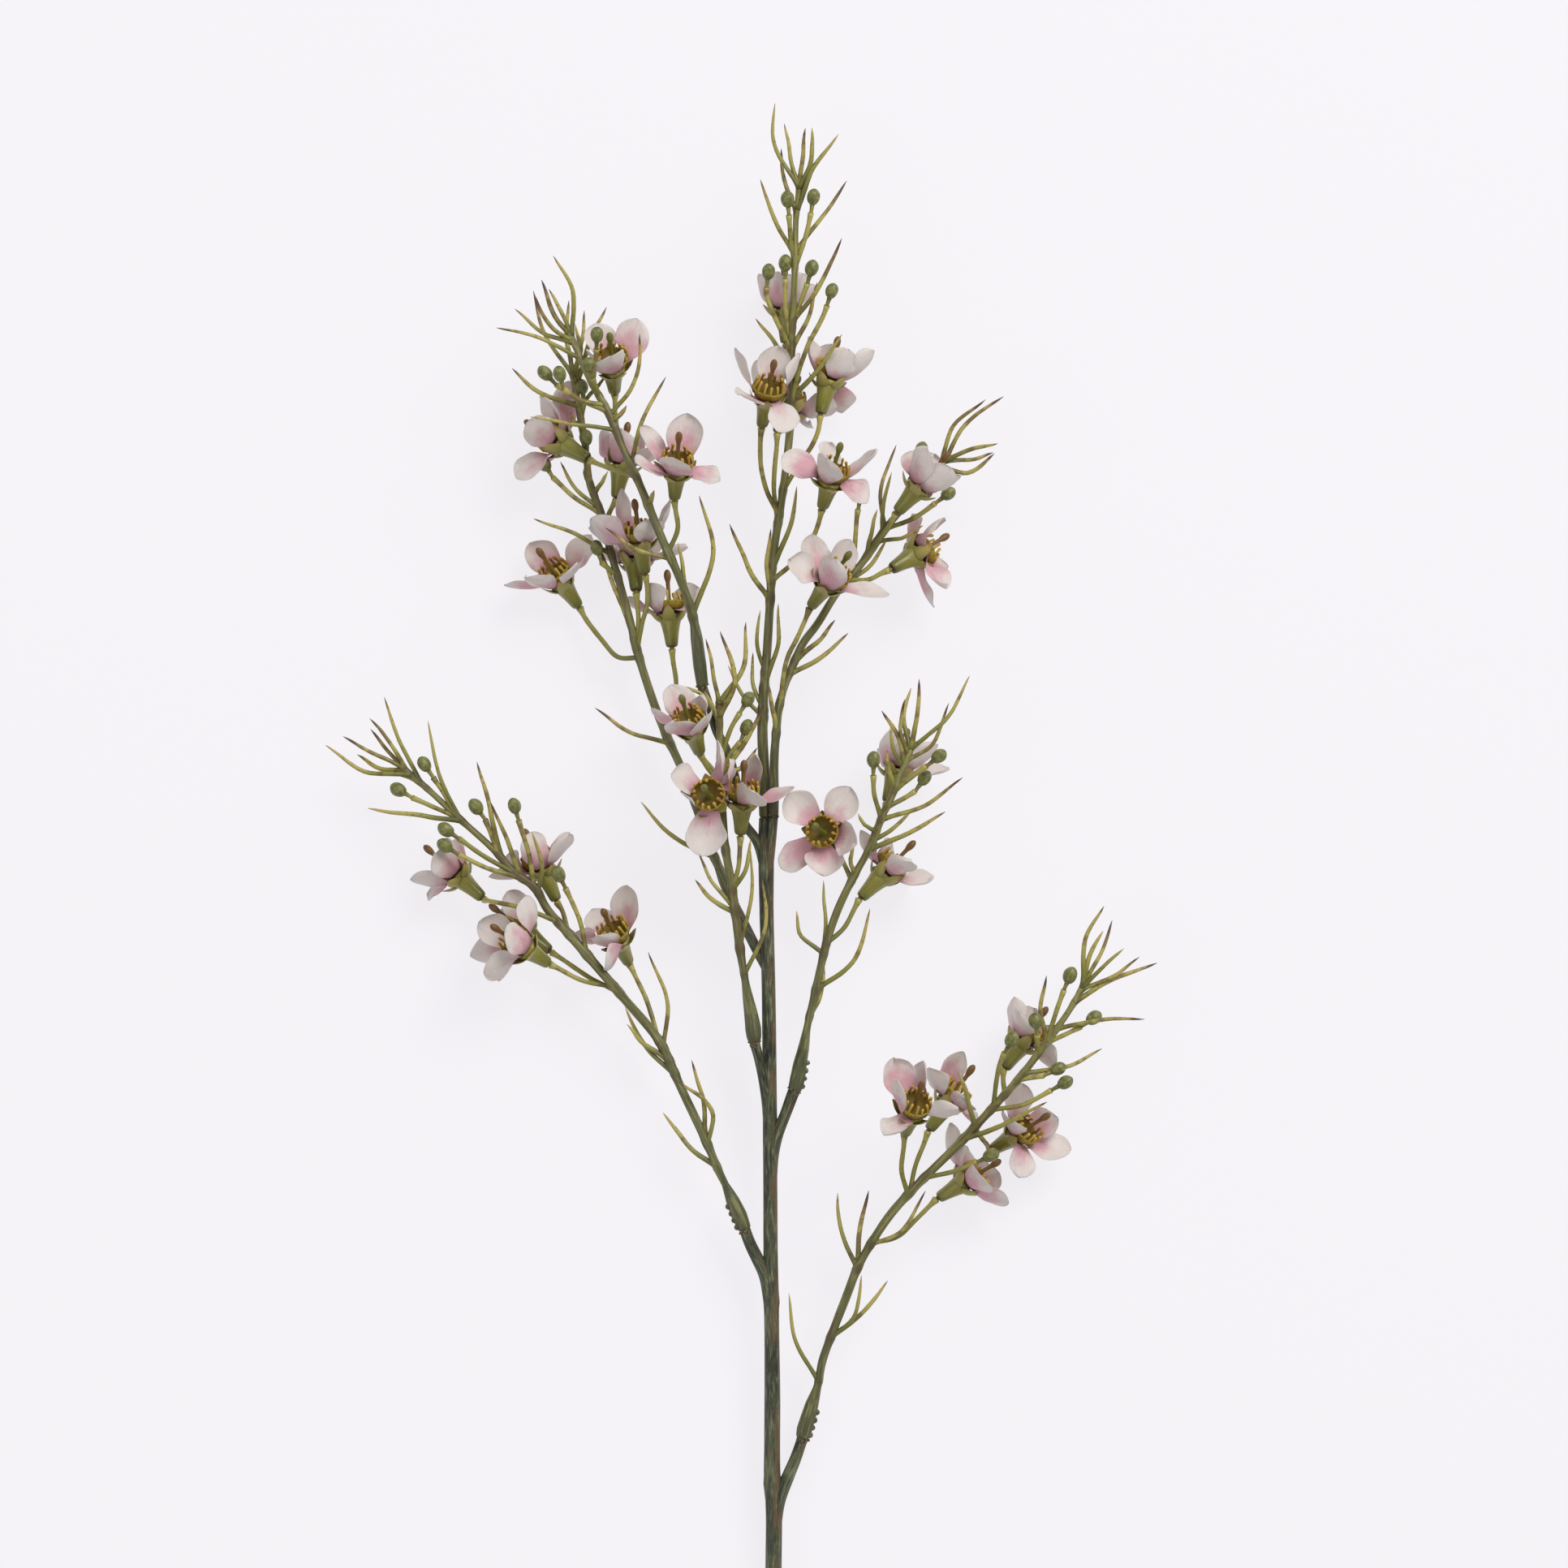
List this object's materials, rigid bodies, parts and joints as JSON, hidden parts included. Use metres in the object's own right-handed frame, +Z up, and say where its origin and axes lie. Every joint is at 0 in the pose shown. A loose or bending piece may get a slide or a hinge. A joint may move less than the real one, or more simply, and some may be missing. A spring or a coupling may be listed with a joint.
{
  "type": "waxflower stem",
  "caption": "Tall branching waxflower stem with five-petalled pale blooms, round buds and curved needle leaves, lying flat.",
  "frame": {"origin": "middle of the bounding box in plan, on the surface that the stem lies on", "axes": "+Y along the main stem towards its tip, +X to the right of the side seen from above, +Z up from the surface"},
  "size_m": [0.256, 0.5206, 0.0565],
  "materials": {
    "main_stem_green": "dark brownish green, matte, with fine lengthwise grain",
    "sprig_green": "olive green, satin, with brown needle tips and gold-brown flower cups",
    "petal_blush": "off-white with a pink flush towards the root, soft matte"
  },
  "bodies": {
    "root": {"main_stem": "main_stem_green", "crown_sprig": "sprig_green", "crown_petals_1": "petal_blush", "crown_petals_2": "petal_blush", "crown_petals_3": "petal_blush", "crown_petals_4": "petal_blush", "crown_petals_5": "petal_blush", "upper_right_sprig": "sprig_green", "upper_right_petals_1": "petal_blush", "upper_right_petals_2": "petal_blush", "upper_right_petals_3": "petal_blush", "left_front_sprig": "sprig_green", "left_front_petals_1": "petal_blush", "left_front_petals_2": "petal_blush", "left_front_petals_3": "petal_blush", "left_back_sprig": "sprig_green", "left_back_petals_1": "petal_blush", "left_back_petals_2": "petal_blush", "left_back_petals_3": "petal_blush", "left_back_petals_4": "petal_blush", "left_back_petals_5": "petal_blush", "centre_sprig": "sprig_green", "centre_petals_1": "petal_blush", "centre_petals_2": "petal_blush", "centre_petals_3": "petal_blush", "mid_right_sprig": "sprig_green", "mid_right_petals_1": "petal_blush", "mid_right_petals_2": "petal_blush", "mid_right_petals_3": "petal_blush", "lower_left_sprig": "sprig_green", "lower_left_petals_1": "petal_blush", "lower_left_petals_2": "petal_blush", "lower_left_petals_3": "petal_blush", "lower_left_petals_4": "petal_blush", "lower_left_petals_5": "petal_blush", "lower_right_sprig": "sprig_green", "lower_right_petals_1": "petal_blush", "lower_right_petals_2": "petal_blush", "lower_right_petals_3": "petal_blush", "lower_right_petals_4": "petal_blush", "lower_right_petals_5": "petal_blush"}
  },
  "joints": []
}
